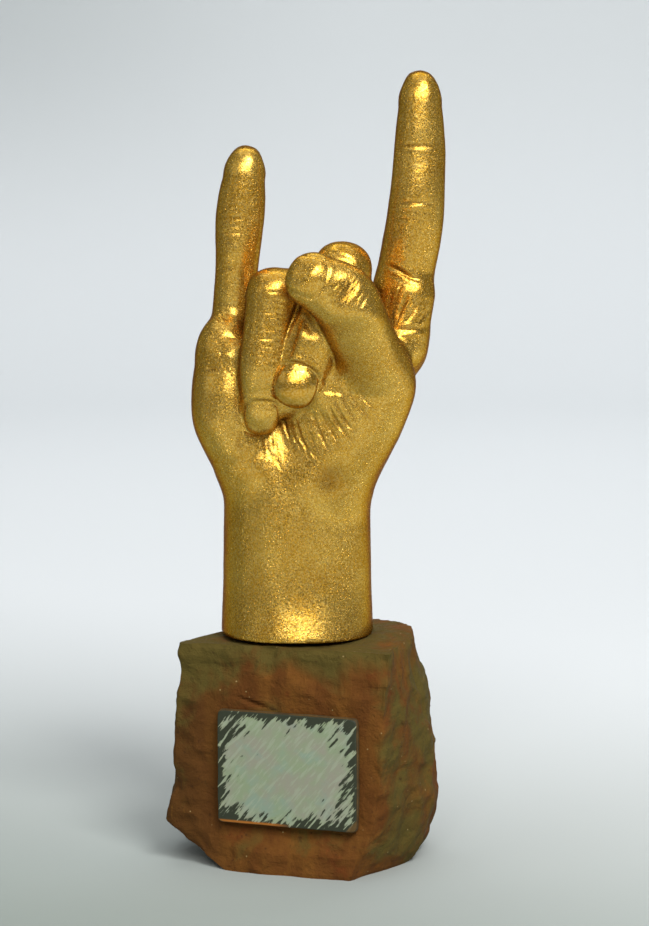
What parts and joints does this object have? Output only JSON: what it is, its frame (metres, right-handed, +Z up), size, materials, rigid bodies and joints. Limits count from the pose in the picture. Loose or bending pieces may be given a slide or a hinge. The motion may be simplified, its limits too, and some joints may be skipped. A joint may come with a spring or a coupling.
{
  "type": "hand sculpture",
  "caption": "Gold-painted cast hand with raised index and little fingers, standing on a split stone block with a small bare plaque on its front.",
  "frame": {"origin": "on the rod's axis, which is the wrist's axis, in the plane that the stone stands on", "axes": "+Z up from the stone to the fingertips, +X towards the raised index finger, -Y the side that the palm and the folded fingers face"},
  "size_m": [0.0933, 0.0896, 0.2667],
  "materials": {
    "gold_painted_ceramic": "gold metallic paint with a fine sparkle over cast ceramic",
    "plaster": "matt cast plaster",
    "rod_steel": "plain steel",
    "fastener_steel": "zinc-plated steel",
    "mortar": "matt brown mortar",
    "rust_brown_stone": "matt split faces with rust and olive staining",
    "grout": "matt set grout",
    "glue": "set construction adhesive",
    "plaque_board": "thin brown board with worn edges",
    "plaque_sheet": "pale grey-green sheet with a dark dry-brushed border"
  },
  "bodies": {
    "root": {"hand_shell": "gold_painted_ceramic", "wrist_plug": "plaster", "mounting_rod": "rod_steel", "anchor_nut": "fastener_steel", "anchor_washer": "fastener_steel", "seat_bed": "mortar", "stone_base": "rust_brown_stone", "rod_grout": "grout", "plaque_glue": "glue", "plaque_board": "plaque_board", "plaque_sheet": "plaque_sheet"}
  },
  "joints": []
}
